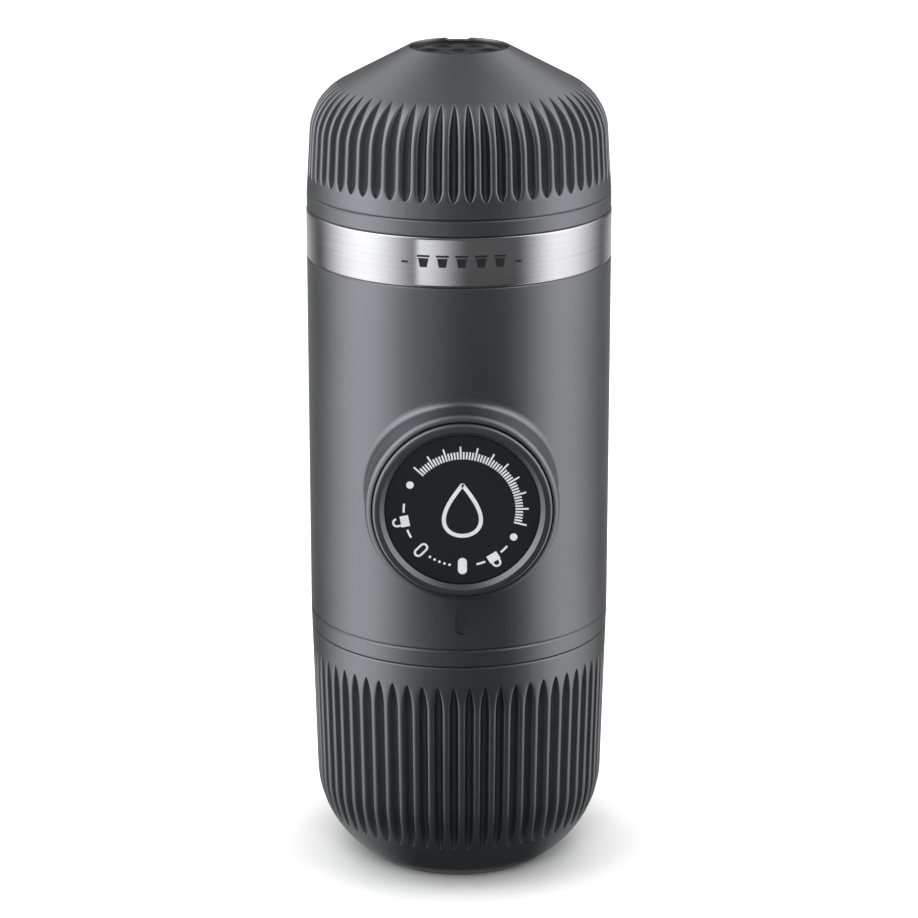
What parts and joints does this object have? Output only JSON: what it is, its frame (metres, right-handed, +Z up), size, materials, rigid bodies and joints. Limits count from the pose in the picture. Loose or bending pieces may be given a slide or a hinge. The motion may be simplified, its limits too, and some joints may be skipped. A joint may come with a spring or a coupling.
{
  "type": "handheld espresso maker",
  "caption": "Upright hand-pumped espresso maker: ribbed water tank, pump body with a push knob on its side, capsule adapter with a steel band, and a ribbed cup that closes the top.",
  "frame": {"origin": "centre of the water tank's flat foot, on the table", "axes": "+Z up along the body's axis, from the tank to the cup; the piston knob faces -Y; +X to the right of someone who faces the knob"},
  "size_m": [0.0624, 0.0708, 0.1727],
  "materials": {
    "grey_shell": "fine satin, soft-touch grey plastic",
    "steel_band": "polished stainless steel",
    "gloss_black": "high gloss black plastic",
    "satin_black": "satin black plastic with pale printed marks",
    "dark_plastic": "moulded glass-filled nylon",
    "silicone": "food-grade silicone",
    "pale_plastic": "turned acetal",
    "stainless": "machined stainless steel"
  },
  "bodies": {
    "tank": {"water_tank": "grey_shell", "tank_neck": "dark_plastic"},
    "pump_unit": {"base_collar": "grey_shell", "main_body": "grey_shell", "pump_chassis": "dark_plastic", "chassis_screws": "stainless", "inlet_nozzle": "dark_plastic", "inlet_filter": "stainless", "pump_barrel": "pale_plastic", "barrel_seal": "silicone", "gland_bush": "pale_plastic", "thrust_washer": "stainless", "pump_head": "dark_plastic", "head_screws": "stainless", "inlet_valve": "silicone", "outlet_valve": "silicone", "water_duct": "pale_plastic", "lock_ring": "dark_plastic", "lock_screws": "stainless", "knob_guide": "pale_plastic", "brew_socket": "dark_plastic", "socket_screws": "stainless", "brew_gasket": "silicone", "tank_gasket": "silicone", "return_spring": "stainless"},
    "plunger": {"piston": "pale_plastic", "piston_seals": "silicone", "plunger_rod": "stainless", "knob_washer": "stainless", "knob_screw": "stainless"},
    "knob": {"knob_shell": "grey_shell", "knob_face": "satin_black"},
    "adapter": {"adapter_neck": "dark_plastic", "adapter_body": "grey_shell", "steel_band": "steel_band", "chamber_seal": "silicone", "capsule_chamber": "dark_plastic", "needle_plate": "stainless"},
    "outlet": {"outlet_head": "dark_plastic", "outlet_seal": "silicone", "outlet_plate": "stainless"},
    "cup": {"cup_shell": "grey_shell", "cup_insert": "gloss_black"}
  },
  "joints": [
    {"name": "body_lift", "type": "slide", "parent": "tank", "child": "pump_unit", "axis": [0, 0, 1], "range_m": [0, 0.03]},
    {"name": "adapter_lift", "type": "slide", "parent": "pump_unit", "child": "adapter", "axis": [0, 0, 1], "range_m": [0, 0.028]},
    {"name": "outlet_lift", "type": "slide", "parent": "adapter", "child": "outlet", "axis": [0, 0, 1], "range_m": [0, 0.02]},
    {"name": "cup_lift", "type": "slide", "parent": "outlet", "child": "cup", "axis": [0, 0, 1], "range_m": [0, 0.04]},
    {"name": "plunger_slide", "type": "slide", "parent": "pump_unit", "child": "plunger", "axis": [0, -1, 0], "range_m": [0, 0.018]},
    {"name": "knob_turn", "type": "hinge", "parent": "plunger", "child": "knob", "pos_m": [0, -0.034, 0.0868], "axis": [0, -1, 0], "range_deg": [0, 45]}
  ]
}
